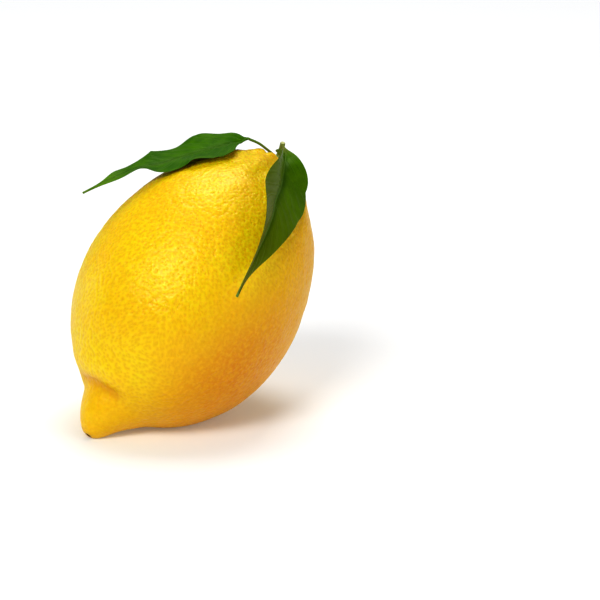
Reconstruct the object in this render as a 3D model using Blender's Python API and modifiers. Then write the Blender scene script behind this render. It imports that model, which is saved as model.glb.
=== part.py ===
"""A whole lemon as picked: the fruit, its calyx, a short cut twig and two leaves.

The fruit lies tilted, resting on a small flat spot of its belly and on the end of its nipple.
The origin is the middle of that flat spot, +Z is up, and -Y is the front.  The fruit is shaped
in its own frame, with the stem end at +Z and the widest ring at z = 0, and is then tilted.
"""

import math

import bmesh
import bpy
import numpy as np
from mathutils import Matrix, Vector

MM = 0.001
CLEARANCE = 0.3 * MM            # gap between neighbouring pieces

# Fruit, from the widest ring up to the stem end and down to the nipple
FRUIT_RADIUS = 29.0 * MM
STEM_HALF = 42.8 * MM
TIP_HALF = 39.7 * MM
STEM_POWERS = (1.92, 1.64)      # superellipse powers along and across the axis
TIP_POWERS = (2.30, 1.45)
COLLAR_RADIUS = 5.6 * MM        # raised ring of peel round the stem end
COLLAR_WIDTH = 2.0 * MM
COLLAR_HEIGHT = 0.9 * MM
DIMPLE_RADIUS = 3.4 * MM        # hollow inside the collar, where the calyx sits
DIMPLE_DEPTH = 1.5 * MM

# Nipple at the blossom end
NIPPLE_LENGTH = 46.6 * MM       # from the widest ring to the nipple's end
NIPPLE_RADIUS = 3.45 * MM
NIPPLE_FLARE = 0.79             # growth of its radius towards the fruit, per unit of length
NIPPLE_WAIST = 4.2 * MM         # how gently that growth sets in
NIPPLE_ROUNDING = 4.25 * MM
NIPPLE_BLEND = 1.3 * MM
LEAN_START = 31.5 * MM          # below the widest ring, where the nipple starts to lean
LEAN_SPAN = 11.2 * MM
LEAN_OFFSET = 3.75 * MM         # sideways shift at the end of that span

# Resting pose
TILT = math.radians(43.5)       # of the fruit's axis from the vertical
HEADING = math.radians(41.5)    # of the leaning axis, from +X towards +Y
FLAT_DEPTH = 1.8 * MM           # how much of the belly the flat spot takes off

# Calyx and twig
CALYX_RADIUS = 2.5 * MM
CALYX_LOBE = 0.35 * MM
CALYX_LOBES = 5
CALYX_THICKNESS = 0.7 * MM
TWIG_LENGTH = 4.4 * MM
TWIG_RADIUS = 0.95 * MM
TWIG_END_RADIUS = 0.65 * MM
TWIG_BEND = 2.6 * MM            # sideways shift of the cut end
TWIG_BEND_ANGLE = math.radians(-157.5)

# Leaves
PETIOLE_RADIUS = 0.4 * MM
BLADE_THICKNESS = 0.5 * MM
MIDRIB_THICKNESS = 0.9 * MM
MIDRIB_WIDTH = 1.2 * MM
LIFT_SHARE = 0.55               # height share of the axis point that the blades face away from

# Mesh fineness
TURN_STEPS = 56
STEM_RINGS = 20
TIP_RINGS = 26
LEAF_RINGS = 34
BLADE_COLUMNS = (-1.0, -0.68, -0.34, 0.0, 0.34, 0.68, 1.0)


# ---------------------------------------------------------------- collections and materials

def new_collection(name):
    collection = bpy.data.collections.new(name)
    bpy.context.scene.collection.children.link(collection)
    return collection


def new_material(name, colour, roughness):
    material = bpy.data.materials.new(name)
    material.use_nodes = True
    shader = material.node_tree.nodes["Principled BSDF"]
    shader.inputs["Base Color"].default_value = (*colour, 1.0)
    shader.inputs["Roughness"].default_value = roughness
    shader.inputs["Metallic"].default_value = 0.0
    material.diffuse_color = (*colour, 1.0)
    return material


def new_object(name, mesh, material, collection, pose):
    obj = bpy.data.objects.new(name, mesh)
    collection.objects.link(obj)
    obj.data.materials.clear()
    obj.data.materials.append(material)
    obj.parent = pose
    return obj


def evaluated_mesh(obj):
    """The object's mesh with its modifiers, or its curve, turned into plain faces."""
    graph = bpy.context.evaluated_depsgraph_get()
    graph.update()
    mesh = bpy.data.meshes.new_from_object(obj.evaluated_get(graph))
    data = obj.data
    bpy.data.objects.remove(obj)
    if isinstance(data, bpy.types.Mesh):
        bpy.data.meshes.remove(data)
    else:
        bpy.data.curves.remove(data)
    return mesh


def weld(mesh):
    shape = bmesh.new()
    shape.from_mesh(mesh)
    bmesh.ops.remove_doubles(shape, verts=shape.verts, dist=0.001 * MM)
    bmesh.ops.recalc_face_normals(shape, faces=shape.faces)
    shape.to_mesh(mesh)
    shape.free()
    return mesh


# ---------------------------------------------------------------- the fruit's shape

def half_radius(along, length, powers):
    """Radius of one half of the fruit, a superellipse, at a distance from the widest ring."""
    share = min(along / length, 1.0)
    return FRUIT_RADIUS * (1.0 - share ** powers[0]) ** (1.0 / powers[1])


def stem_end_relief(radius):
    """Rise of the collar and fall of the dimple round the stem end."""
    collar = COLLAR_HEIGHT * math.exp(-(((radius - COLLAR_RADIUS) / COLLAR_WIDTH) ** 2))
    dimple = DIMPLE_DEPTH * math.exp(-((radius / DIMPLE_RADIUS) ** 2))
    return collar - dimple


def stem_end_height(radius):
    """Height of the peel round the stem end, at a radius from the axis."""
    share = (radius / FRUIT_RADIUS) ** STEM_POWERS[1]
    return STEM_HALF * (1.0 - share) ** (1.0 / STEM_POWERS[0]) + stem_end_relief(radius)


def nipple_radius(along):
    """Radius of the blunt, flared nipple at a distance below the widest ring."""
    from_end = max(NIPPLE_LENGTH - along, 0.0)
    round_share = max(1.0 - from_end / NIPPLE_ROUNDING, 0.0)
    flared = NIPPLE_RADIUS + NIPPLE_FLARE * from_end ** 2 / (from_end + NIPPLE_WAIST)
    return flared * (1.0 - round_share ** 2.6) ** (1.0 / 2.2)


def tip_radius(along):
    """Radius of the blossom-end half: the fruit and the nipple, smoothly joined."""
    fruit = half_radius(along, TIP_HALF, TIP_POWERS)
    nipple = min(nipple_radius(along), FRUIT_RADIUS / 2)
    nearness = max(NIPPLE_BLEND - abs(fruit - nipple), 0.0) / NIPPLE_BLEND
    return max(fruit, nipple) + nearness ** 3 * NIPPLE_BLEND / 6.0


def lean(z):
    """Sideways shift of the nipple, towards -X, at a height of the fruit's frame."""
    share = min(max(-z - LEAN_START, 0.0) / LEAN_SPAN, 1.0)
    return LEAN_OFFSET * share * share * (3.0 - 2.0 * share)


def fruit_profile():
    """Radius and height of each ring, from the stem end down to the nipple's end."""
    rings = []
    for index in range(STEM_RINGS):
        angle = 0.5 * math.pi * index / STEM_RINGS
        radius = FRUIT_RADIUS * math.sin(angle) ** (2.0 / STEM_POWERS[1])
        rings.append((radius, stem_end_height(radius)))
    for index in range(TIP_RINGS):
        along = NIPPLE_LENGTH * math.sin(0.5 * math.pi * index / TIP_RINGS)
        rings.append((tip_radius(along), -along))
    rings.append((0.0, -NIPPLE_LENGTH))
    return rings


def belly_contact():
    """Lowest point of the tilted belly, relative to the fruit's centre, before it is turned."""
    lowest = None
    for index in range(400):
        z = -TIP_HALF * 0.8 * index / 400
        reach = tip_radius(-z) - lean(z)
        down = -math.sin(TILT) * reach + math.cos(TILT) * z
        out = math.cos(TILT) * reach + math.sin(TILT) * z
        if lowest is None or down < lowest[1]:
            lowest = (out, down)
    return lowest


def new_pose():
    """The empty at the fruit's centre, which tilts every piece and stands it on z = 0."""
    out, down = belly_contact()
    pose = bpy.data.objects.new("pose", None)
    bpy.context.scene.collection.objects.link(pose)
    pose.rotation_euler = (0.0, TILT, HEADING)
    pose.location = (-out * math.cos(HEADING), -out * math.sin(HEADING), -down - FLAT_DEPTH)
    return pose


# ---------------------------------------------------------------- fruit

def turned_fruit_mesh():
    """The fruit turned about its axis by a Screw modifier, with its nipple leaned over."""
    profile = bpy.data.meshes.new("fruit_profile")
    points = [(radius, 0.0, height) for radius, height in fruit_profile()]
    edges = [(index, index + 1) for index in range(len(points) - 1)]
    profile.from_pydata(points, edges, [])
    turned = bpy.data.objects.new("fruit_profile", profile)
    bpy.context.scene.collection.objects.link(turned)
    screw = turned.modifiers.new("turn", "SCREW")
    screw.axis = "Z"
    screw.angle = 2.0 * math.pi
    screw.steps = TURN_STEPS
    screw.render_steps = TURN_STEPS
    screw.use_merge_vertices = True
    screw.merge_threshold = 0.01 * MM
    mesh = weld(evaluated_mesh(turned))
    places = np.empty(len(mesh.vertices) * 3)
    mesh.vertices.foreach_get("co", places)
    places = places.reshape(-1, 3)
    places[:, 0] -= [lean(z) for z in places[:, 2]]
    mesh.vertices.foreach_set("co", places.ravel())
    mesh.update()
    return mesh


def build_fruit(collection, cutters, pose):
    material = new_material("lemon_peel", (0.90, 0.58, 0.02), 0.42)
    fruit = new_object("fruit", turned_fruit_mesh(), material, collection, pose)
    side = 4.0 * FRUIT_RADIUS
    shape = bmesh.new()
    bmesh.ops.create_cube(shape, size=side)
    table_mesh = bpy.data.meshes.new("resting_plane")
    shape.to_mesh(table_mesh)
    shape.free()
    table = bpy.data.objects.new("resting_plane", table_mesh)
    cutters.objects.link(table)
    table.location = (0.0, 0.0, -side / 2)
    table.hide_render = True
    table.display_type = "WIRE"
    cut = fruit.modifiers.new("flat_spots", "BOOLEAN")
    cut.operation = "DIFFERENCE"
    cut.solver = "EXACT"
    cut.object = table
    fruit.data.shade_smooth()
    fruit.data.set_sharp_from_angle(angle=math.radians(40.0))


# ---------------------------------------------------------------- calyx and twig

def calyx_base():
    """Height at which the calyx clears the peel under it."""
    reach = CALYX_RADIUS + CALYX_LOBE
    highest = max(stem_end_height(reach * index / 20) for index in range(21))
    return highest + CLEARANCE


def twig_base():
    return calyx_base() + CALYX_THICKNESS + CLEARANCE


def twig_axis(share):
    """A point of the twig's bent axis, from its foot at 0 to its cut end at 1."""
    bend = TWIG_BEND * share * share
    height = twig_base() + TWIG_LENGTH * share
    return Vector((bend * math.cos(TWIG_BEND_ANGLE), bend * math.sin(TWIG_BEND_ANGLE), height))


def build_calyx(collection, pose):
    """The green button that held the fruit: a flat plate with five rounded lobes."""
    outline = bpy.data.curves.new("calyx_outline", "CURVE")
    outline.dimensions = "2D"
    outline.fill_mode = "BOTH"
    outline.extrude = CALYX_THICKNESS / 2
    spline = outline.splines.new("POLY")
    count = 8 * CALYX_LOBES
    spline.points.add(count - 1)
    for index, point in enumerate(spline.points):
        angle = 2.0 * math.pi * index / count
        reach = CALYX_RADIUS + CALYX_LOBE * math.cos(CALYX_LOBES * angle)
        point.co = (reach * math.cos(angle), reach * math.sin(angle), 0.0, 1.0)
    spline.use_cyclic_u = True
    flat = bpy.data.objects.new("calyx_outline", outline)
    bpy.context.scene.collection.objects.link(flat)
    mesh = weld(evaluated_mesh(flat))
    material = new_material("calyx_green", (0.16, 0.22, 0.04), 0.7)
    calyx = new_object("calyx", mesh, material, collection, pose)
    calyx.location = (0.0, 0.0, calyx_base() + CALYX_THICKNESS / 2)


def build_twig(collection, pose):
    """The cut stub of twig that the calyx and both leaves grew from."""
    line = bpy.data.curves.new("twig_axis", "CURVE")
    line.dimensions = "3D"
    line.bevel_depth = TWIG_RADIUS
    line.bevel_resolution = 2
    line.use_fill_caps = True
    spline = line.splines.new("POLY")
    spline.points.add(6)
    for index, point in enumerate(spline.points):
        share = index / 6
        point.co = (*twig_axis(share), 1.0)
        point.radius = 1.0 + (TWIG_END_RADIUS / TWIG_RADIUS - 1.0) * share
    tube = bpy.data.objects.new("twig_axis", line)
    bpy.context.scene.collection.objects.link(tube)
    mesh = weld(evaluated_mesh(tube))
    material = new_material("twig_bark", (0.30, 0.34, 0.10), 0.75)
    twig = new_object("twig", mesh, material, collection, pose)
    twig.data.shade_smooth()
    twig.data.set_sharp_from_angle(angle=math.radians(50.0))


# ---------------------------------------------------------------- leaves

def over_peel(from_stem, angle, height):
    """A point at a height over the peel: its place along the axis, from the stem end, and round it."""
    z = STEM_HALF - from_stem * MM
    step = 0.05 * MM
    radius = half_radius(max(z, 0.0), STEM_HALF, STEM_POWERS)
    below = half_radius(max(z - step, 0.0), STEM_HALF, STEM_POWERS)
    normal = Vector((1.0, 0.0, (below - radius) / step)).normalized()
    turn = Matrix.Rotation(math.radians(angle), 3, "Z")
    return turn @ (Vector((radius, 0.0, z)) + normal * height * MM)


def smooth_path(knots, per_span=12):
    """Points of a smooth curve through the knots, carried on straight past the last one."""
    first = knots[0] * 2 - knots[1]
    last = knots[-1] * 2 - knots[-2]
    chain = [first, *knots, last]
    points = []
    for index in range(1, len(chain) - 2):
        a, b, c, d = chain[index - 1:index + 3]
        for step in range(per_span):
            t = step / per_span
            points.append(0.5 * (2 * b + (c - a) * t + (2 * a - 5 * b + 4 * c - d) * t * t
                                 + (3 * b - a - 3 * c + d) * t ** 3))
    points.append(knots[-1])
    points.append(knots[-1] + (knots[-1] - points[-2]) * per_span * 2)
    return np.array(points)


def leaf_sections(knots, petiole_length, blade):
    """Rings of points round the petiole and the blade, from the twig to the leaf's tip.

    A blade's pairs of values are for its two halves: widths, the share of the length over which
    a half opens at its base, folds up from the midrib, and heights of the wavy margin.  Its
    rolls, in degrees, turn it about the midrib at even steps along its length.
    """
    path = smooth_path(knots)
    run = np.concatenate([[0.0], np.cumsum(np.linalg.norm(np.diff(path, axis=0), axis=1))])
    whole = petiole_length + blade["length"]
    sections = []
    for index in range(LEAF_RINGS):
        distance = whole * index / (LEAF_RINGS - 1)
        share = min(max(distance - petiole_length, 0.0) / blade["length"], 1.0)
        here, ahead, behind = (
            Vector([np.interp(max(at, 0.0), run, path[:, axis]) for axis in range(3)])
            for at in (distance, distance + 0.4 * MM, distance - 0.4 * MM))
        along = (ahead - behind).normalized()
        core = Vector((0.0, 0.0, min(here.z, STEM_HALF) * LIFT_SHARE))
        outward = here - core
        outward = (outward - outward.dot(along) * along).normalized()
        across = outward.cross(along)
        roll = math.radians(np.interp(share, np.linspace(0.0, 1.0, 5), blade["rolls"]))
        side = across * math.cos(roll) - outward * math.sin(roll)
        normal = outward * math.cos(roll) + across * math.sin(roll)
        base_power, tip_power = blade["taper"]
        peak = base_power / (base_power + tip_power)
        fullness = (share / peak) ** base_power * ((1 - share) / (1 - peak)) ** tip_power
        starts = [min(share / base, 1.0) for base in blade["bases"]]
        openings = [start * start * (3.0 - 2.0 * start) for start in starts]
        ripple = math.sin(2.0 * math.pi * (blade["ripples"] * share + blade["ripple_start"]))
        ring = []
        for face in (1.0, -1.0):
            for column in BLADE_COLUMNS[::int(face)]:
                which = 0 if column > 0 else 1
                opened = fullness * openings[which]
                half = blade["half_widths"][which] * opened + PETIOLE_RADIUS * (1.0 - 0.5 * share)
                fold = math.radians(blade["folds"][which])
                wave = blade["waves"][which] * ripple * opened ** 0.6 * abs(column) ** 1.5
                reach = half * column
                rib = math.exp(-((reach / (MIDRIB_WIDTH / 2)) ** 2))
                thickness = BLADE_THICKNESS + (MIDRIB_THICKNESS - BLADE_THICKNESS) * rib
                thickness *= 1.0 - 0.35 * share
                lift = abs(reach) * math.sin(fold) + wave + face * thickness / 2
                ring.append(here + side * reach * math.cos(fold) + normal * lift)
        sections.append(ring)
    return sections


def build_leaf(name, knots, petiole_length, blade, material, collection, pose):
    """One leaf, petiole, midrib and blade in one: a loft through its sections."""
    shape = bmesh.new()
    rings = []
    for section in leaf_sections(knots, petiole_length, blade):
        rings.append([shape.verts.new(point) for point in section])
    count = len(rings[0])
    for near, far in zip(rings, rings[1:]):
        for index in range(count):
            following = (index + 1) % count
            shape.faces.new((near[index], near[following], far[following], far[index]))
    shape.faces.new(rings[0])
    shape.faces.new(rings[-1])
    bmesh.ops.triangulate(shape, faces=shape.faces)
    bmesh.ops.recalc_face_normals(shape, faces=shape.faces)
    mesh = bpy.data.meshes.new(name)
    shape.to_mesh(mesh)
    shape.free()
    leaf = new_object(name, mesh, material, collection, pose)
    leaf.data.shade_smooth()
    leaf.data.set_sharp_from_angle(angle=math.radians(60.0))


def petiole_foot(share, angle):
    """Where a petiole starts: beside the twig, clear of it, part of the way up."""
    turn = Matrix.Rotation(math.radians(angle), 3, "Z")
    gap = TWIG_RADIUS + CLEARANCE + 1.6 * PETIOLE_RADIUS
    return twig_axis(share) + turn @ Vector((gap, 0.0, 0.0))


def build_leaves(collection, pose):
    material = new_material("leaf_green", (0.05, 0.16, 0.015), 0.38)
    left_knots = [petiole_foot(0.15, 165.0)] + [
        over_peel(*place) for place in (
            (0.9, 175.5, 1.1), (1.9, 171.5, 2.1), (3.1, 170.0, 2.8), (3.9, 169.3, 3.0),
            (6.3, 158.7, 1.9), (15.3, 152.6, 1.6), (20.8, 153.2, 2.5), (26.0, 152.3, 5.0),
            (33.4, 153.8, 7.4), (39.4, 150.6, 10.1))]
    left = {
        "length": 47.6 * MM, "half_widths": (11.4 * MM, 8.7 * MM),
        "taper": (0.75, 1.84), "bases": (0.10, 0.10),
        "rolls": (29.0, 13.7, 18.8, 15.8, 28.9), "folds": (3.8, 7.4),
        "waves": (0.73 * MM, -1.0 * MM), "ripples": 3.62, "ripple_start": -0.146}
    build_leaf("leaf_left", left_knots, 9.6 * MM, left, material, collection, pose)
    right_knots = [petiole_foot(0.86, -121.0)] + [
        over_peel(*place) for place in (
            (3.6, -122.5, 3.2), (11.3, -116.5, 1.8), (16.7, -117.5, 2.7),
            (26.1, -116.3, 5.0), (43.9, -114.7, 6.8))]
    right = {
        "length": 59.5 * MM, "half_widths": (8.6 * MM, 8.6 * MM),
        "taper": (0.93, 1.60), "bases": (0.25, 0.30),
        "rolls": (-55.0, 36.0, 34.0, 45.0, 79.0), "folds": (21.0, 8.0),
        "waves": (0.3 * MM, 1.0 * MM), "ripples": 2.3, "ripple_start": 0.57}
    build_leaf("leaf_right", right_knots, 2.0 * MM, right, material, collection, pose)


# ---------------------------------------------------------------- build

for old in list(bpy.data.objects):
    bpy.data.objects.remove(old)
lemon = new_collection("lemon")
cutters = new_collection("cutters")
lemon_pose = new_pose()
build_fruit(lemon, cutters, lemon_pose)
build_calyx(lemon, lemon_pose)
build_twig(lemon, lemon_pose)
build_leaves(lemon, lemon_pose)
bpy.context.view_layer.update()
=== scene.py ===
"""A picked lemon lying on a white table: the fruit, its calyx, the cut twig and two leaves.

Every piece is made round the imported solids, in metres, with +Z up, -Y the front and the table
at z = 0.  The fruit is shaped upright in its own frame, stem end up, and is then laid down.
"""

import math

import bpy
import numpy as np
from mathutils import Matrix, Vector, kdtree, noise


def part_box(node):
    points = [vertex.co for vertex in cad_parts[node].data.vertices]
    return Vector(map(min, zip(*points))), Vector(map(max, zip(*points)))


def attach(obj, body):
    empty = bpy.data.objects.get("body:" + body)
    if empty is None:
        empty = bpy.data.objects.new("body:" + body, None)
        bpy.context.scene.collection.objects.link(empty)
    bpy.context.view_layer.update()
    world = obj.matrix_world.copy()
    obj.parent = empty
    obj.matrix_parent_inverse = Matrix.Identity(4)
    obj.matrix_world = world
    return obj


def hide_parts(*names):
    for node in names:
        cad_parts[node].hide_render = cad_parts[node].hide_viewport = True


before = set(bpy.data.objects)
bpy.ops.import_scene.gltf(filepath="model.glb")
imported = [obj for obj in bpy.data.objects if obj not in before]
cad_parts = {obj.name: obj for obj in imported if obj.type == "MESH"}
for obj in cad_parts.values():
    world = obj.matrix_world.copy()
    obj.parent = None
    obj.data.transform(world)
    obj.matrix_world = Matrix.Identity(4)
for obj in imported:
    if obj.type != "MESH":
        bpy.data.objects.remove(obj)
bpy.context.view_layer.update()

MM = 0.001


# ---------------------------------------------------------------- the fruit
# One grown body: a thick waxy peel over the flesh, with a furrowed collar round the stem end
# and a blunt nipple with a dry brown scar where the flower's style fell off.  Oil glands pit
# the whole peel.  Its own weight rests on a small flat spot of the belly and on the nipple.

FRUIT_RADIUS = 29.0 * MM
STEM_HALF = 42.8 * MM           # from the widest ring to the stem end
TIP_HALF = 39.7 * MM            # from the widest ring to the end of the flesh
STEM_POWERS = (1.92, 1.64)
TIP_POWERS = (2.30, 1.45)
COLLAR_RADIUS = 5.6 * MM
COLLAR_WIDTH = 2.0 * MM
COLLAR_HEIGHT = 0.9 * MM
DIMPLE_RADIUS = 3.4 * MM
DIMPLE_DEPTH = 1.5 * MM
NIPPLE_LENGTH = 46.6 * MM
NIPPLE_RADIUS = 3.45 * MM
NIPPLE_FLARE = 0.79
NIPPLE_WAIST = 4.2 * MM
NIPPLE_ROUNDING = 4.25 * MM
NIPPLE_BLEND = 1.3 * MM
NIPPLE_POWERS = (2.6, 2.2)      # of its rounded end
LEAN_START = 31.5 * MM
LEAN_SPAN = 11.2 * MM
LEAN_OFFSET = 3.75 * MM
TILT = math.radians(43.5)
HEADING = math.radians(41.5)
TABLE_SOFTNESS = 0.25 * MM      # how gently the peel turns into its flat spots

GRID = 128                      # squares along each side of the cube that the peel is gridded on
PORE_PITCH = 1.0 * MM
PORE_JITTER = 0.27              # of the pitch
PORE_RADII = (0.28 * MM, 0.46 * MM)
PORE_DEPTHS = (0.09 * MM, 0.20 * MM)
GOLDEN_ANGLE = math.pi * (3.0 - math.sqrt(5.0))
SWELLS = (0.30 * MM, 14.0 * MM)             # height and size of the peel's broad unevenness
RIPPLES = (0.10 * MM, 4.5 * MM)
GRIT = (0.045 * MM, 1.7 * MM)
COLLAR_LUMPS = (0.40 * MM, 3.2 * MM)
FURROWS = 9.0                               # round the stem end
FURROW_HEIGHT = 0.34 * MM
FURROW_STRAY = 2.2                          # how far a furrow strays, in radians of its wave
FURROW_STRAY_SIZE = 9.0 * MM
NIPPLE_CALM = 0.55                          # share of the unevenness that the nipple lacks
SCAR_RADIUS = 1.25 * MM
SCAR_DEPTH = 0.25 * MM
RELIEF_FULL = 1.2 * MM                      # height over the table from which the relief is full
CREASE_ANGLE = math.radians(-174.0)
CREASE_SLANT = 0.6 * MM                     # how much lower it runs for each radian of angle
SWOLLEN_FOLD = (-0.70 * MM, 31.6 * MM, 2.4 * MM)    # depth, drop from the widest ring, width
CREASE = (0.75 * MM, 35.0 * MM, 1.1 * MM)
FOLD_SPAN = (0.58, 0.94)                    # cosines of the angles where a fold ends and is full


def half_radius(along, length, powers):
    """Radius of one half of the fruit, a superellipse, at a distance from the widest ring."""
    share = np.clip(along / length, 0.0, 1.0)
    return FRUIT_RADIUS * (1.0 - share ** powers[0]) ** (1.0 / powers[1])


def stem_end_height(radius):
    """Height of the peel round the stem end: the superellipse, its collar and its dimple."""
    share = np.clip(radius / FRUIT_RADIUS, 0.0, 1.0) ** STEM_POWERS[1]
    collar = COLLAR_HEIGHT * np.exp(-(((radius - COLLAR_RADIUS) / COLLAR_WIDTH) ** 2))
    dimple = DIMPLE_DEPTH * np.exp(-((radius / DIMPLE_RADIUS) ** 2))
    return STEM_HALF * (1.0 - share) ** (1.0 / STEM_POWERS[0]) + collar - dimple


def tip_radius(along):
    """Radius of the blossom-end half: the fruit and the flared nipple, smoothly joined."""
    from_end = np.maximum(NIPPLE_LENGTH - along, 0.0)
    round_share = np.maximum(1.0 - from_end / NIPPLE_ROUNDING, 0.0)
    flared = NIPPLE_RADIUS + NIPPLE_FLARE * from_end ** 2 / (from_end + NIPPLE_WAIST)
    nipple = flared * (1.0 - round_share ** NIPPLE_POWERS[0]) ** (1.0 / NIPPLE_POWERS[1])
    nipple = np.minimum(nipple, FRUIT_RADIUS / 2)
    fruit = half_radius(along, TIP_HALF, TIP_POWERS)
    nearness = np.maximum(NIPPLE_BLEND - abs(fruit - nipple), 0.0) / NIPPLE_BLEND
    return np.maximum(fruit, nipple) + nearness ** 3 * NIPPLE_BLEND / 6.0


def ease(values, low, high):
    """0 below low, 1 above high, and a smooth step between them."""
    share = np.clip((values - low) / (high - low), 0.0, 1.0)
    return share * share * (3.0 - 2.0 * share)


def lean(z):
    """Sideways shift of the nipple, towards -X, at a height of the fruit's frame."""
    return LEAN_OFFSET * ease(-z, LEAN_START, LEAN_START + LEAN_SPAN)


def fruit_profile(steps=600):
    """Run along the peel from the stem end to the nipple's end, with its radius and height."""
    quarter = 0.5 * math.pi * np.arange(steps) / steps
    stem_radii = FRUIT_RADIUS * np.sin(quarter) ** (2.0 / STEM_POWERS[1])
    drops = NIPPLE_LENGTH * np.sin(0.5 * math.pi * np.arange(steps + 1) / steps)
    radii = np.concatenate([stem_radii, tip_radius(drops)])
    heights = np.concatenate([stem_end_height(stem_radii), -drops])
    radii[-1] = 0.0
    runs = np.concatenate([[0.0], np.cumsum(np.hypot(np.diff(radii), np.diff(heights)))])
    return runs, radii, heights


RUNS, RADII, HEIGHTS = fruit_profile()


def on_peel(run, angle):
    """Places and outward directions of the smooth peel, at a run from the stem end and an angle."""
    radius = np.interp(run, RUNS, RADII)
    height = np.interp(run, RUNS, HEIGHTS)
    step = 0.1 * MM
    fall = np.interp(run + step, RUNS, HEIGHTS) - np.interp(run - step, RUNS, HEIGHTS)
    rise = np.interp(run + step, RUNS, RADII) - np.interp(run - step, RUNS, RADII)
    size = np.hypot(fall, rise) + 1e-12
    places = np.stack([radius * np.cos(angle) - lean(height), radius * np.sin(angle), height], 1)
    outward = np.stack([-fall / size * np.cos(angle), -fall / size * np.sin(angle), rise / size], 1)
    return places, outward


def hills(places, size, seed):
    """A smooth random height from -1 to 1 at each place, with hills of the given size."""
    shift = Vector((seed * 7.3, seed * 3.1, seed * 5.7))
    return np.array([noise.noise(Vector(place) / size + shift) for place in places])


def cube_grid(count):
    """Whole-number corners, quads and face map places of a cube with a grid on each side."""
    steps = np.arange(count)
    first, second = np.meshgrid(steps, steps, indexing="ij")
    quads, maps = [], []
    for side in range(6):
        axis, level = side // 2, side % 2
        corners, spots = [], []
        for ahead, across in ((0, 0), (1, 0), (1, 1), (0, 1)):
            place = np.empty((count, count, 3), int)
            place[..., axis] = level * count
            place[..., (axis + 1) % 3] = first + ahead
            place[..., (axis + 2) % 3] = second + across
            corners.append(place)
            spot = np.stack([first + ahead, second + across], 2) / count * 0.97 + 0.015
            spots.append((spot + (axis, level)) / (3.0, 2.0))
        if level == 0:
            corners.reverse()
            spots.reverse()
        quads.append(np.stack(corners, 2).reshape(-1, 3))
        maps.append(np.stack(spots, 2).reshape(-1, 2))
    corners, index = np.unique(np.concatenate(quads), axis=0, return_inverse=True)
    return corners, index.reshape(-1, 4), np.concatenate(maps)


def pore_places():
    """Well spread, slightly uneven spots all over the peel, wound on from the stem end."""
    strips = np.diff(RUNS) * math.pi * (RADII[1:] + RADII[:-1])
    covered = np.concatenate([[0.0], np.cumsum(strips)])
    count = int(covered[-1] / PORE_PITCH ** 2)
    turn = np.arange(count)
    run = np.interp((turn + 0.5) / count * covered[-1], covered, RUNS)
    stray = np.random.default_rng(4).normal(0.0, PORE_JITTER * PORE_PITCH, (2, count))
    radius = np.maximum(np.interp(run, RUNS, RADII), PORE_PITCH)
    return on_peel(np.clip(run + stray[0], 0.0, RUNS[-1]), turn * GOLDEN_ANGLE + stray[1] / radius)[0]


def pore_depths(places):
    """How deep each place lies in its nearest pore, and the pore's share there from 0 to 1."""
    pores = pore_places()
    tree = kdtree.KDTree(len(pores))
    for index, pore in enumerate(pores):
        tree.insert(pore, index)
    tree.balance()
    found = [tree.find(place) for place in places]
    nearest = np.array([hit[1] for hit in found])
    distance = np.array([hit[2] for hit in found])
    draw = np.random.default_rng(9)
    radii = draw.uniform(*PORE_RADII, len(pores))[nearest]
    depths = draw.uniform(*PORE_DEPTHS, len(pores))[nearest]
    share = np.exp(-((distance / radii) ** 2))
    return depths * share, share


def fold_share(height, angle, fold):
    """A fold's share from 0 to 1 of each place, where the fruit turns into its nipple."""
    aside = np.remainder(angle - CREASE_ANGLE + math.pi, 2.0 * math.pi) - math.pi
    below = height + fold[1] + CREASE_SLANT * aside
    return ease(np.cos(aside), *FOLD_SPAN) * np.exp(-((below / fold[2]) ** 2))


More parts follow.
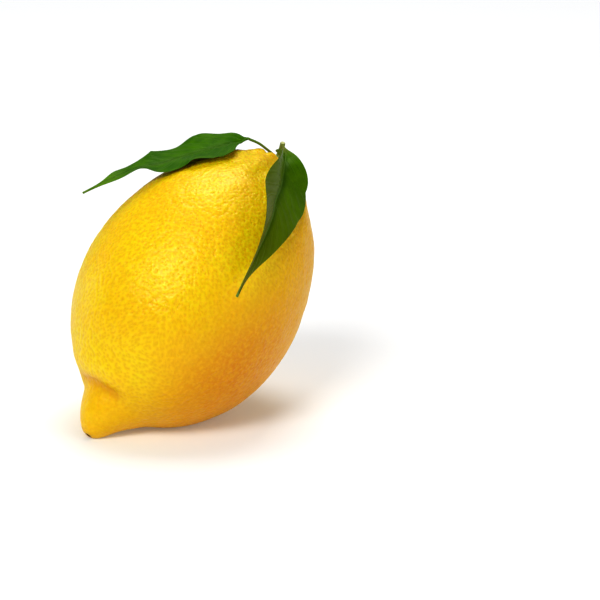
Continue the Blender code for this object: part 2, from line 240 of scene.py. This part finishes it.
def build_fruit_mesh():
    """The peel as a closed mesh on the table, and the turn and place of the fruit's frame."""
    corners, quads, face_map = cube_grid(GRID)
    spread = np.tan((corners / GRID * 2.0 - 1.0) * math.pi / 4)
    spread /= np.linalg.norm(spread, axis=1)[:, None]
    run = np.arccos(np.clip(spread[:, 2], -1.0, 1.0)) / math.pi * RUNS[-1]
    angle = np.arctan2(spread[:, 1], spread[:, 0])
    places, outward = on_peel(run, angle)
    radius = np.interp(run, RUNS, RADII)
    height = np.interp(run, RUNS, HEIGHTS)

    pit_depth, pit = pore_depths(places)
    calm = 1.0 - NIPPLE_CALM * ease(-height, 33.0 * MM, 41.0 * MM)
    relief = -pit_depth * calm
    relief += SWELLS[0] * hills(places, SWELLS[1], 1)
    relief += RIPPLES[0] * hills(places, RIPPLES[1], 2) * calm
    relief += GRIT[0] * hills(places, GRIT[1], 3) * calm
    furrows = np.sin(FURROWS * angle + FURROW_STRAY * hills(places, FURROW_STRAY_SIZE, 4))
    by_stem = ease(height, 20.0 * MM, 34.0 * MM) * ease(radius, 2.5 * MM, 6.0 * MM)
    relief += FURROW_HEIGHT * furrows * by_stem
    lumps = COLLAR_LUMPS[0] * hills(places, COLLAR_LUMPS[1], 5)
    relief += lumps * ease(height, 34.0 * MM, 40.0 * MM) * ease(radius, 2.5 * MM, 5.0 * MM)
    swollen = fold_share(height, angle, SWOLLEN_FOLD)
    crease = fold_share(height, angle, CREASE)
    relief -= SWOLLEN_FOLD[0] * swollen
    relief -= CREASE[0] * crease
    scar = 1.0 - ease(radius, 0.55 * SCAR_RADIUS, SCAR_RADIUS)
    scar *= ease(-height, NIPPLE_LENGTH - 3.0 * MM, NIPPLE_LENGTH - 1.0 * MM)
    relief -= SCAR_DEPTH * scar

    turn = Matrix.Rotation(HEADING, 3, "Z") @ Matrix.Rotation(TILT, 3, "Y")
    laid = places @ np.array(turn).T
    fruit_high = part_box("fruit")[1]
    centre = np.array(fruit_high) - laid.max(axis=0)
    world = laid + centre
    lift = ease(world[:, 2], 0.0, RELIEF_FULL)
    world += (outward @ np.array(turn).T) * (relief * lift)[:, None]
    z = world[:, 2]
    world[:, 2] = 0.5 * (z + np.sqrt(z * z + TABLE_SOFTNESS ** 2))

    mesh = bpy.data.meshes.new("fruit_peel")
    mesh.from_pydata(world.tolist(), [], quads.tolist())
    layer = mesh.uv_layers.new(name="OFBake")
    layer.data.foreach_set("uv", face_map.ravel())
    # the pit and crease shares go to the paint, where they carry painted shade
    for name, values in (("pit", pit * calm * lift), ("scar", scar), ("crease", crease),
                         ("height", height / MM)):
        mesh.attributes.new(name, "FLOAT", "POINT").data.foreach_set("value", values)
    mesh.shade_smooth()
    mesh.update()
    return mesh, Matrix.Translation(centre) @ turn.to_4x4()


class Wire:
    """An output of a shader node.  Arithmetic on it adds Math nodes to the same node tree."""

    def __init__(self, tree, socket=None):
        self.tree = tree
        self.socket = socket

    def node(self, kind, settings=None, sockets=None, output=0):
        """Add a node: its settings are made first, then its sockets filled or linked."""
        made = self.tree.nodes.new("ShaderNode" + kind)
        for name, setting in (settings or {}).items():
            setattr(made, name, setting)
        for name, value in (sockets or {}).items():
            if isinstance(value, Wire):
                self.tree.links.new(value.socket, made.inputs[name])
            else:
                made.inputs[name].default_value = value
        return Wire(self.tree, made.outputs[output])

    def math(self, operation, *values):
        return self.node("Math", {"operation": operation}, dict(enumerate(values)))

    def __add__(self, other):
        return self.math("ADD", self, other)

    def __sub__(self, other):
        return self.math("SUBTRACT", self, other)

    def __rsub__(self, other):
        return self.math("SUBTRACT", other, self)

    def __mul__(self, other):
        return self.math("MULTIPLY", self, other)

    def __abs__(self):
        return self.math("ABSOLUTE", self)

    def __pow__(self, other):
        return self.math("POWER", self, other)

    def ease(self, low, high, start=0.0, end=1.0):
        """A smooth step of this value, from start below low to end above high."""
        return self.node("MapRange", {"interpolation_type": "SMOOTHSTEP"},
                         {"Value": self, 1: low, 2: high, 3: start, 4: end})

    def between(self, first, second):
        """A colour from first to second, by this value."""
        ends = [end if isinstance(end, Wire) else (*end, 1.0) for end in (first, second)]
        return self.node("Mix", {"data_type": "RGBA"}, {0: self, 6: ends[0], 7: ends[1]}, 2)

    def attribute(self, name):
        return self.node("Attribute", {"attribute_name": name}, output=2)

    def place(self):
        return self.node("TexCoord", output=3)

    def grain(self, size, detail=2.0, at=None):
        """Random value from 0 to 1 with grains of the given size."""
        return self.node("TexNoise", None, {"Vector": at or self.place(), "Scale": 1.0 / size,
                                            "Detail": detail})

    def bump(self, height, distance, normal=None):
        """The surface direction over a height from 0 to 1 that stands for the distance."""
        sockets = {"Height": height, "Distance": distance}
        if normal:
            sockets["Normal"] = normal
        return self.node("Bump", None, sockets)


def finish(name, paint):
    """A new material: paint takes its empty Wire and returns the shader's socket values."""
    material = bpy.data.materials.new(name)
    material.use_nodes = True
    tree = material.node_tree
    shader = tree.nodes["Principled BSDF"]
    for socket, value in paint(Wire(tree)).items():
        if isinstance(value, Wire):
            tree.links.new(value.socket, shader.inputs[socket])
        else:
            shader.inputs[socket].default_value = value
    return material


PALE_YELLOW = (0.85, 0.64, 0.002)
DEEP_YELLOW = (0.87, 0.58, 0.002)
SHADE_GOLD = (0.77, 0.36, 0.001)
SHADE_SIDE = (0.55, 0.40, -0.73)                     # direction of the side where painted shade turns the peel gold
BOUNCE_ORANGE = (0.64, 0.215, 0.0005)
BOUNCE_PLACE = (22.0 * MM, -19.0 * MM, 16.0 * MM)   # where painted shade and warm bounce light turn the peel orange
BOUNCE_REACH = (2.0 * MM, 32.0 * MM)
END_YELLOW = (0.80, 0.43, 0.002)
SPECK_YELLOW = (0.97, 0.68, 0.02)
PORE_SHADE_AMBER = (0.68, 0.34, 0.001)
CREASE_SHADE_AMBER = (0.62, 0.24, 0.001)
SCAR_BROWN = (0.10, 0.045, 0.012)


def paint_peel(wire):
    """Waxy yellow peel; painted shade and warm bounce light make it gold on one low side and orange at
    one place, and painted shade darkens every pit and the crease.
    """
    place = wire.place()
    pit = wire.attribute("pit")
    scar = wire.attribute("scar")
    crease = wire.attribute("crease")
    height = wire.attribute("height")
    patches = wire.grain(17.0 * MM, 2.0, place).ease(0.38, 0.66)
    specks = wire.grain(0.9 * MM, 2.0, place).ease(0.35, 0.70)
    colour = patches.between(PALE_YELLOW, DEEP_YELLOW)
    towards = wire.node("VectorMath", {"operation": "DOT_PRODUCT"}, {0: place, 1: SHADE_SIDE}, 1)
    # painted shade: the peel turns gold towards the low side that faces away from the lights
    painted_shade = towards.ease(-30.0 * MM, -8.0 * MM)
    colour = (painted_shade * 0.80).between(colour, SHADE_GOLD)
    # painted shade and warm bounce light: the peel turns orange round one place low on the side away
    # from the lights
    away = wire.node("VectorMath", {"operation": "DISTANCE"}, {0: place, 1: BOUNCE_PLACE}, 1)
    colour = away.ease(*BOUNCE_REACH, 0.95, 0.0).between(colour, BOUNCE_ORANGE)
    ends = abs(height).ease(30.0, 46.0)             # this attribute is in millimetres
    colour = (ends * 0.35).between(colour, END_YELLOW)
    colour = (specks * 0.22).between(colour, SPECK_YELLOW)
    # painted shade: every pore's hollow is darkened towards amber
    colour = (pit * 0.60).between(colour, PORE_SHADE_AMBER)
    # painted shade: the crease where the fruit turns into its nipple is darkened towards amber
    colour = (crease * 0.65).between(colour, CREASE_SHADE_AMBER)
    colour = scar.between(colour, SCAR_BROWN)
    gloss = wire.grain(3.0 * MM, 3.0, place).ease(0.3, 0.7, 0.34, 0.44)
    glands = wire.node("TexVoronoi", {"feature": "SMOOTH_F1"},
                       {"Vector": place, "Scale": 1.0 / (0.95 * MM), "Smoothness": 0.35})
    fine = wire.grain(0.45 * MM, 2.0, place)
    return {
        "Base Color": colour,
        "Specular IOR Level": 0.62,
        "Specular Tint": (1.0, 0.90, 0.42, 1.0),
        "Roughness": gloss + scar * 0.4,
        "Normal": wire.bump(glands.ease(0.05, 0.55), 0.07 * MM, wire.bump(fine, 0.03 * MM)),
        "Subsurface Weight": 0.45,
        "Subsurface Radius": (1.0, 0.38, 0.05),
        "Subsurface Scale": 3.0 * MM,
    }


def new_piece(name, mesh, material, node):
    """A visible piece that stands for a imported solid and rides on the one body."""
    piece = bpy.data.objects.new(name, mesh)
    bpy.context.scene.collection.objects.link(piece)
    mesh.materials.append(material)
    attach(piece, "root")
    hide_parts(node)


peel_mesh, LAID = build_fruit_mesh()
new_piece("fruit_peel", peel_mesh, finish("lemon_peel", paint_peel), "fruit")


# ---------------------------------------------------------------- the calyx
# The green button that held the fruit: five short leathery lobes round a low boss, grown onto
# the peel in the middle of the dimple.

CALYX_RADIUS = 2.5 * MM
CALYX_LOBE = 0.45 * MM
CALYX_LOBES = 5
CALYX_THICKNESS = 0.7 * MM
CALYX_BED = 0.15 * MM           # how deep its underside sits in the peel
CALYX_MARGIN = 0.12 * MM        # added to its upper face, so the rim has some thickness
CALYX_SCALLOP = 0.10 * MM       # how much its lobes stand up between their notches
CALYX_AROUND = 80


def laid_mesh(name, rings, extras=()):
    """A closed loft through rings of points of the fruit's frame, laid down with the fruit."""
    count = len(rings[0])
    points = [LAID @ Vector(point) for ring in rings for point in ring]
    faces = []
    for near in range(len(rings) - 1):
        for index in range(count):
            following = (index + 1) % count
            faces.append((near * count + index, near * count + following,
                          (near + 1) * count + following, (near + 1) * count + index))
    faces.append(tuple(reversed(range(count))))
    faces.append(tuple(range((len(rings) - 1) * count, len(rings) * count)))
    mesh = bpy.data.meshes.new(name)
    mesh.from_pydata(points, [], faces)
    for label, values in extras:
        mesh.attributes.new(label, "FLOAT", "POINT").data.foreach_set("value", np.ravel(values))
    mesh.shade_smooth()
    mesh.update()
    return mesh


def calyx_top():
    """Height of the calyx's upper face, where the twig stands."""
    return stem_end_height(0.6 * CALYX_RADIUS) + CALYX_THICKNESS


def build_calyx_mesh():
    """Rings from the middle of the underside out over the lobes' edge and in over the top."""
    angles = 2.0 * math.pi * np.arange(CALYX_AROUND) / CALYX_AROUND
    rings = []
    for side, shares in ((-1.0, np.linspace(0.05, 1.0, 9)), (1.0, np.linspace(1.0, 0.05, 14))):
        for share in shares:
            ring = []
            for angle in angles:
                lobe = CALYX_LOBE * math.cos(CALYX_LOBES * angle) * (1.0 + 0.2 * math.sin(3.0 * angle))
                radius = share * (CALYX_RADIUS + lobe)
                bed = float(stem_end_height(np.array(radius))) - CALYX_BED
                edge = math.sqrt(max(1.0 - share ** 4, 0.0))
                crown = CALYX_THICKNESS * (0.55 + 0.45 * math.exp(-((share / 0.45) ** 2)))
                crown += CALYX_SCALLOP * math.cos(CALYX_LOBES * angle) * share
                height = bed + (crown * edge + CALYX_MARGIN if side > 0 else 0.0)
                ring.append((radius * math.cos(angle), radius * math.sin(angle), height))
            rings.append(ring)
    return laid_mesh("calyx_star", rings)


def paint_calyx(wire):
    """Matt green skin that has dried brown in places."""
    mottle = wire.grain(0.7 * MM, 3.0).ease(0.35, 0.65)
    dry = wire.grain(1.8 * MM, 2.0).ease(0.50, 0.70)
    green = mottle.between((0.13, 0.19, 0.03), (0.22, 0.27, 0.06))
    return {
        "Base Color": (dry * 0.6).between(green, (0.24, 0.17, 0.06)),
        "Roughness": mottle.ease(0.0, 1.0, 0.55, 0.75),
        "Normal": wire.bump(wire.grain(0.3 * MM, 3.0), 0.12 * MM),
    }


new_piece("calyx_star", build_calyx_mesh(), finish("calyx_skin", paint_calyx), "calyx")


# ---------------------------------------------------------------- the twig
# The stub that was snipped when the fruit was picked: green bark with fine ridges, a
# swollen foot, and a pale cut end.

TWIG_LENGTH = 4.4 * MM
TWIG_RADIUS = 0.95 * MM
TWIG_END_RADIUS = 0.65 * MM
TWIG_BEND = 2.6 * MM
TWIG_BEND_ANGLE = math.radians(-157.5)
TWIG_FOOT = 0.45 * MM           # from the calyx up to the twig's foot
TWIG_SWELLING = 0.35            # share by which the foot is thicker
TWIG_AROUND = 48


def twig_axis(share):
    """A point of the twig's bent axis, from its foot at 0 to its cut end at 1."""
    bend = TWIG_BEND * share * share
    height = calyx_top() + TWIG_FOOT + TWIG_LENGTH * share
    return Vector((bend * math.cos(TWIG_BEND_ANGLE), bend * math.sin(TWIG_BEND_ANGLE), height))


def build_twig_mesh():
    """Rings from under the calyx's face up to the cut end and in over it."""
    rings, cut = [], []
    stations = [(share, 1.0) for share in np.linspace(-0.16, 0.985, 40)]
    stations += [(0.995, 0.95), (1.0, 0.88), (0.999, 0.6), (0.992, 0.30), (0.985, 0.12)]
    for share, inset in stations:
        here = twig_axis(max(share, 0.0)) + Vector((0.0, 0.0, min(share, 0.0) * TWIG_LENGTH))
        along = (twig_axis(share + 0.02) - twig_axis(share - 0.02)).normalized()
        first = along.cross(Vector((0.0, 1.0, 0.0))).normalized()
        second = along.cross(first)
        radius = TWIG_RADIUS + (TWIG_END_RADIUS - TWIG_RADIUS) * share
        radius *= 1.0 + TWIG_SWELLING * math.exp(-(((share + 0.10) / 0.12) ** 2))
        ring = []
        for index in range(TWIG_AROUND):
            angle = 2.0 * math.pi * index / TWIG_AROUND
            ridge = 0.05 * math.sin(9.0 * angle + 3.0 * share) + 0.03 * math.sin(14.0 * angle)
            reach = radius * (inset + ridge * (inset > 0.9))
            ring.append(here + first * math.cos(angle) * reach - second * math.sin(angle) * reach)
        rings.append(ring)
        cut.append([1.0 if inset < 0.9 else 0.0] * TWIG_AROUND)
    return laid_mesh("twig_stub", rings, [("cut", cut)])


def paint_twig(wire):
    """Green bark, and pale wood on the cut end."""
    place = wire.place()
    cut = wire.attribute("cut")
    mottle = wire.grain(0.8 * MM, 3.0, place).ease(0.35, 0.65)
    bark = mottle.between((0.16, 0.22, 0.035), (0.27, 0.30, 0.08))
    wood = wire.grain(0.25 * MM, 2.0, place).between((0.42, 0.44, 0.16), (0.60, 0.60, 0.30))
    return {
        "Base Color": cut.between(bark, wood),
        "Roughness": mottle.ease(0.0, 1.0, 0.50, 0.70),
        "Normal": wire.bump(wire.grain(0.35 * MM, 3.0, place), 0.10 * MM),
    }


new_piece("twig_stub", build_twig_mesh(), finish("twig_bark", paint_twig), "twig")


# ---------------------------------------------------------------- the leaves
# Two leathery lemon leaves, each one piece with its stalk: a glossy upper face with a sunk
# midrib and faint side veins, a paler face below with the midrib standing proud, and a thin
# wavy margin.  Both grew out of the twig.  One arches over the fruit, one hangs down its front.

PETIOLE_RADIUS = 0.34 * MM
BLADE_THICKNESS = 0.30 * MM
VALLEY_DEPTH = 0.8 * MM         # how far the midrib is sunk between the two halves
VALLEY_WIDTH = 1.6 * MM
VALLEY_LEVEL = 0.25             # share of the valley that lies over the path
LIFT_SHARE = 0.55               # height share of the axis point that the blades face away from
RIB_WIDTH = 0.55 * MM
RIB_SUNK = 0.16 * MM            # into the upper face
RIB_PROUD = 0.35 * MM           # out of the lower face
VEIN_PAIRS = 15.0
VEIN_SWEEP = 2.6                # how many spacings a side vein runs forward to the margin
VEIN_CURVE = 0.8
QUILT_HEIGHT = 0.09 * MM        # of the blade between its side veins
LEAF_RINGS = 190
LEAF_COLUMNS = 20               # on each side of the midrib


def over_peel(from_stem, angle, height):
    """A point at a height over the peel: its place along the axis, from the stem end, and round it."""
    z = STEM_HALF - from_stem * MM
    step = 0.05 * MM
    radius = float(half_radius(max(z, 0.0), STEM_HALF, STEM_POWERS))
    below = float(half_radius(max(z - step, 0.0), STEM_HALF, STEM_POWERS))
    normal = Vector((1.0, 0.0, (below - radius) / step)).normalized()
    turn = Matrix.Rotation(math.radians(angle), 3, "Z")
    return turn @ (Vector((radius, 0.0, z)) + normal * height * MM)


def stalk_foot(share, angle):
    """Where a leaf stalk leaves the twig's bark."""
    turn = Matrix.Rotation(math.radians(angle), 3, "Z")
    return twig_axis(share) + turn @ Vector((0.5 * TWIG_RADIUS, 0.0, 0.0))


def smooth_path(knots, per_span=12):
    """Points of a smooth curve through the knots, carried on straight past the last one."""
    first = knots[0] * 2 - knots[1]
    last = knots[-1] * 2 - knots[-2]
    chain = [first, *knots, last]
    points = []
    for index in range(1, len(chain) - 2):
        a, b, c, d = chain[index - 1:index + 3]
        for step in range(per_span):
            t = step / per_span
            points.append(0.5 * (2 * b + (c - a) * t + (2 * a - 5 * b + 4 * c - d) * t * t
                                 + (3 * b - a - 3 * c + d) * t ** 3))
    points.append(knots[-1])
    points.append(knots[-1] + (knots[-1] - points[-2]) * per_span * 2)
    return np.array(points)


def build_leaf_mesh(name, knots, petiole_length, blade):
    """A thin loft from the twig to the leaf's tip, its upper and lower face in one ring."""
    path = smooth_path(knots)
    run = np.concatenate([[0.0], np.cumsum(np.linalg.norm(np.diff(path, axis=0), axis=1))])
    whole = petiole_length + blade["length"]
    columns = np.sin(np.linspace(-0.5, 0.5, 2 * LEAF_COLUMNS + 1) * math.pi)
    rings, alongs, acrosses, faces, olives = [], [], [], [], []
    for index in range(LEAF_RINGS):
        distance = whole * index / (LEAF_RINGS - 1)
        share = min(max(distance - petiole_length, 0.0) / blade["length"], 1.0)
        here, ahead, behind = (
            Vector([np.interp(max(at, 0.0), run, path[:, axis]) for axis in range(3)])
            for at in (distance, distance + 0.4 * MM, distance - 0.4 * MM))
        along = (ahead - behind).normalized()
        core = Vector((0.0, 0.0, min(here.z, STEM_HALF) * LIFT_SHARE))
        outward = here - core
        outward = (outward - outward.dot(along) * along).normalized()
        across = outward.cross(along)
        roll = math.radians(np.interp(share, np.linspace(0.0, 1.0, 5), blade["rolls"]))
        side = across * math.cos(roll) - outward * math.sin(roll)
        normal = outward * math.cos(roll) + across * math.sin(roll)
        base_power, tip_power = blade["taper"]
        peak = base_power / (base_power + tip_power)
        fullness = (share / peak) ** base_power * ((1 - share) / (1 - peak)) ** tip_power
        starts = [min(share / base, 1.0) for base in blade["bases"]]
        openings = [start * start * (3.0 - 2.0 * start) for start in starts]
        ripple = math.sin(2.0 * math.pi * (blade["ripples"] * share + blade["ripple_start"]))
        blade_share = min(fullness * max(openings) * 4.0, 1.0)
        for face in (1.0, -1.0):
            for column in columns[::int(face)]:
                which = 0 if column > 0 else 1
                opened = fullness * openings[which]
                half = blade["half_widths"][which] * opened + PETIOLE_RADIUS * (1.0 - 0.5 * share)
                fold = math.radians(blade["folds"][which])
                wave = blade["waves"][which] * ripple * opened ** 0.6 * abs(column) ** 1.5
                reach = half * column
                round_stalk = math.sqrt(max(1.0 - column * column, 0.0))
                rib = math.exp(-((reach / RIB_WIDTH) ** 2)) * (1.0 - 0.6 * share)
                slab = 0.5 * BLADE_THICKNESS * (1.0 - 0.3 * share) * round_stalk ** 0.35
                if face > 0:
                    slab -= RIB_SUNK * rib
                else:
                    slab += RIB_PROUD * rib
                veins = share * VEIN_PAIRS - VEIN_SWEEP * abs(column) ** VEIN_CURVE
                vein = math.sin(2.0 * math.pi * veins)
                quilt = QUILT_HEIGHT * vein * min(abs(column) * 3.0, 1.0) * (1.0 - column ** 4)
                slab = blade_share * slab + (1.0 - blade_share) * PETIOLE_RADIUS * round_stalk
                lift = abs(reach) * math.sin(fold) + wave + face * slab + quilt * blade_share
                sunk = math.exp(-abs(reach) / VALLEY_WIDTH) - VALLEY_LEVEL
                lift -= VALLEY_DEPTH * blade_share * (1.0 - share) * sunk
                place = here + side * reach * math.cos(fold) + normal * lift
                rings.append(place)
                alongs.append(distance / whole)
                acrosses.append(column * blade_share)
                faces.append(face * round_stalk)
                olives.append(blade["olive"][which] * share ** 0.5)
    around = 2 * len(columns)
    rings = [rings[start:start + around] for start in range(0, len(rings), around)]
    return laid_mesh(name, rings, [("along", alongs), ("across", acrosses), ("face", faces),
                                   ("olive", olives)])


LEAF_GREEN = (0.036, 0.130, 0.001)
LEAF_LIGHT_GREEN = (0.066, 0.185, 0.002)
VEIN_GREEN = (0.11, 0.24, 0.04)
TIP_GREEN = (0.13, 0.27, 0.015)
OLIVE = (0.125, 0.180, 0.001)
OLIVE_BROWN = (0.150, 0.095, 0.001)
SHADED_GREEN = (0.022, 0.075, 0.002)
MIDRIB_GREEN = (0.17, 0.29, 0.06)
UNDERSIDE_GREEN = (0.14, 0.24, 0.06)
STALK_GREEN = (0.17, 0.21, 0.03)


def paint_leaf(wire):
    """Green blades with pale veins, olive where a leaf has aged, and a paler face below."""
    place = wire.place()
    along = wire.attribute("along")
    across = abs(wire.attribute("across"))
    face = wire.attribute("face")
    stalk = 1.0 - along.ease(0.05, 0.17)
    mottle = wire.grain(5.0 * MM, 3.0, place).ease(0.35, 0.68)
    cells = wire.grain(0.35 * MM, 2.0, place)
    green = mottle.between(LEAF_GREEN, LEAF_LIGHT_GREEN)
    steps = along * VEIN_PAIRS - (across ** VEIN_CURVE) * VEIN_SWEEP
    vein = abs(steps.math("FRACT", steps) - 0.5).ease(0.02, 0.13, 1.0, 0.0)
    green = (vein * 0.20).between(green, VEIN_GREEN)
    green = along.ease(0.70, 1.0).between(green, TIP_GREEN)
    olive = wire.attribute("olive")
    green = (olive * 0.75).between(green, OLIVE)
    green = (olive * along * 0.8).between(green, OLIVE_BROWN)
    shaded = across.ease(0.05, 0.20, 1.0, 0.0)
    green = (shaded * 0.45).between(green, SHADED_GREEN)
    midrib = across.ease(0.015, 0.045, 1.0, 0.0)
    green = (midrib * 0.60).between(green, MIDRIB_GREEN)
    below = face.ease(-0.25, 0.25, 1.0, 0.0)
    green = (below * 0.75).between(green, UNDERSIDE_GREEN)
    green = stalk.between(green, STALK_GREEN)
    return {
        "Base Color": green,
        "Specular IOR Level": 0.10,
        "Specular Tint": (0.80, 1.0, 0.20, 1.0),
        "Roughness": below.ease(0.0, 1.0, 0.34, 0.58) + cells * 0.06,
        "Normal": wire.bump(cells, 0.025 * MM, wire.bump(vein, 0.05 * MM)),
        "Subsurface Weight": 0.08,
        "Subsurface Radius": (0.4, 1.0, 0.1),
        "Subsurface Scale": 0.4 * MM,
    }


leaf_skin = finish("leaf_skin", paint_leaf)
left_knots = [stalk_foot(0.15, 165.0)] + [
    over_peel(*place) for place in (
        (0.9, 175.5, 1.1), (1.9, 171.5, 2.1), (3.1, 170.0, 2.8), (3.9, 169.3, 3.0),
        (6.3, 158.7, 1.9), (15.3, 152.6, 1.6), (20.8, 153.2, 2.5), (26.0, 152.3, 5.0),
        (33.4, 153.8, 7.4), (39.4, 150.6, 10.1))]
left_blade = {
    "length": 47.6 * MM, "half_widths": (11.4 * MM, 8.7 * MM),
    "taper": (0.75, 1.84), "bases": (0.10, 0.10),
    "rolls": (29.0, 13.7, 18.8, 15.8, 28.9), "folds": (3.8, 7.4),
    "waves": (0.73 * MM, -1.0 * MM), "ripples": 3.62, "ripple_start": -0.146, "olive": (0.0, 0.0)}
right_knots = [stalk_foot(0.86, -121.0)] + [
    over_peel(*place) for place in (
        (3.6, -122.5, 3.2), (11.3, -116.5, 1.8), (16.7, -117.5, 2.7),
        (26.1, -116.3, 5.0), (43.9, -114.7, 6.8))]
right_blade = {
    "length": 59.5 * MM, "half_widths": (8.6 * MM, 8.6 * MM),
    "taper": (0.93, 1.60), "bases": (0.25, 0.30),
    "rolls": (-55.0, 36.0, 34.0, 45.0, 79.0), "folds": (21.0, 8.0),
    "waves": (0.3 * MM, 1.0 * MM), "ripples": 2.3, "ripple_start": 0.57, "olive": (0.60, 0.95)}
for label, node, knots, petiole_length, blade in (
        ("leaf_blade_left", "leaf_left", left_knots, 10.2 * MM, left_blade),
        ("leaf_blade_right", "leaf_right", right_knots, 2.6 * MM, right_blade)):
    leaf_mesh = build_leaf_mesh(label, knots, petiole_length, blade)
    new_piece(label, leaf_mesh, leaf_skin, node)


# ---------------------------------------------------------------- the table, light and camera
# A plain white table top under four soft lights: the key from the upper left in front, one
# overhead, a weak fill from the right and a weaker one from the left behind.  The camera is a
# long lens in front and a little above.

TABLE_RADIUS = 4.0
TABLE_CORNERS = 96
TABLE_DROP = 0.02 * MM          # keeps the table top clear of the flat spots that rest on it
LENS = 137.9
SENSOR = 36.0
CAMERA_DISTANCE = 0.6
CAMERA_ELEVATION = math.radians(17.0)
FRUIT_IN_VIEW = (-28.1 * MM, 1.8 * MM)      # the fruit's centre, right of and above the view's middle


def paint_table(wire):
    """Matt white, with the faintest unevenness."""
    return {
        "Base Color": wire.grain(0.4, 2.0).between((0.85, 0.86, 0.87), (0.87, 0.88, 0.89)),
        "Roughness": 0.7,
        "Emission Color": (1.0, 1.0, 1.0, 1.0),
        "Emission Strength": 0.09,
    }


table_mesh = bpy.data.meshes.new("table_top")
rim = [2.0 * math.pi * index / TABLE_CORNERS for index in range(TABLE_CORNERS)]
table_mesh.from_pydata([(TABLE_RADIUS * math.cos(turn), TABLE_RADIUS * math.sin(turn), 0.0)
                        for turn in rim], [], [tuple(range(len(rim)))])
table = bpy.data.objects.new("table_top", table_mesh)
table.location.z = -TABLE_DROP
table_mesh.materials.append(finish("table_white", paint_table))
bpy.context.scene.collection.objects.link(table)

centre = LAID.translation


def soft_light(name, place, size, power, colour):
    """A square soft light that faces the fruit's centre; its place is from that centre."""
    lamp = bpy.data.lights.new(name, "AREA")
    lamp.shape = "SQUARE"
    lamp.size = size
    lamp.energy = power
    lamp.color = colour
    light = bpy.data.objects.new(name, lamp)
    bpy.context.scene.collection.objects.link(light)
    light.location = centre + Vector(place)
    light.rotation_euler = (-Vector(place)).to_track_quat("-Z", "Y").to_euler()


soft_light("key_light", (-0.52, -1.00, 1.15), 0.70, 11.3, (1.0, 0.99, 0.97))
soft_light("top_light", (0.10, 0.58, 1.48), 0.85, 9.4, (1.0, 1.0, 1.0))
soft_light("fill_light", (1.30, -0.70, 0.60), 0.90, 3.2, (1.0, 0.98, 0.94))
soft_light("side_light", (-1.25, 0.55, 0.20), 0.50, 1.0, (1.0, 1.0, 1.0))

world = bpy.data.worlds.new("studio")
world.use_nodes = True
world.node_tree.nodes["Background"].inputs["Color"].default_value = (1.0, 1.0, 1.0, 1.0)
world.node_tree.nodes["Background"].inputs["Strength"].default_value = 0.20
bpy.context.scene.world = world
bpy.context.scene.view_settings.view_transform = "Standard"
bpy.context.scene.view_settings.look = "High Contrast"

lens = bpy.data.cameras.new("front_camera")
lens.lens = LENS
lens.sensor_width = SENSOR
lens.clip_start = 0.01
lens.clip_end = 50.0
camera = bpy.data.objects.new("front_camera", lens)
bpy.context.scene.collection.objects.link(camera)
view_up = Vector((0.0, math.sin(CAMERA_ELEVATION), math.cos(CAMERA_ELEVATION)))
back = Vector((0.0, -math.cos(CAMERA_ELEVATION), math.sin(CAMERA_ELEVATION)))
target = centre - Vector((FRUIT_IN_VIEW[0], 0.0, 0.0)) - view_up * FRUIT_IN_VIEW[1]
camera.location = target + back * CAMERA_DISTANCE
camera.rotation_euler = (math.pi / 2 - CAMERA_ELEVATION, 0.0, 0.0)
bpy.context.scene.camera = camera
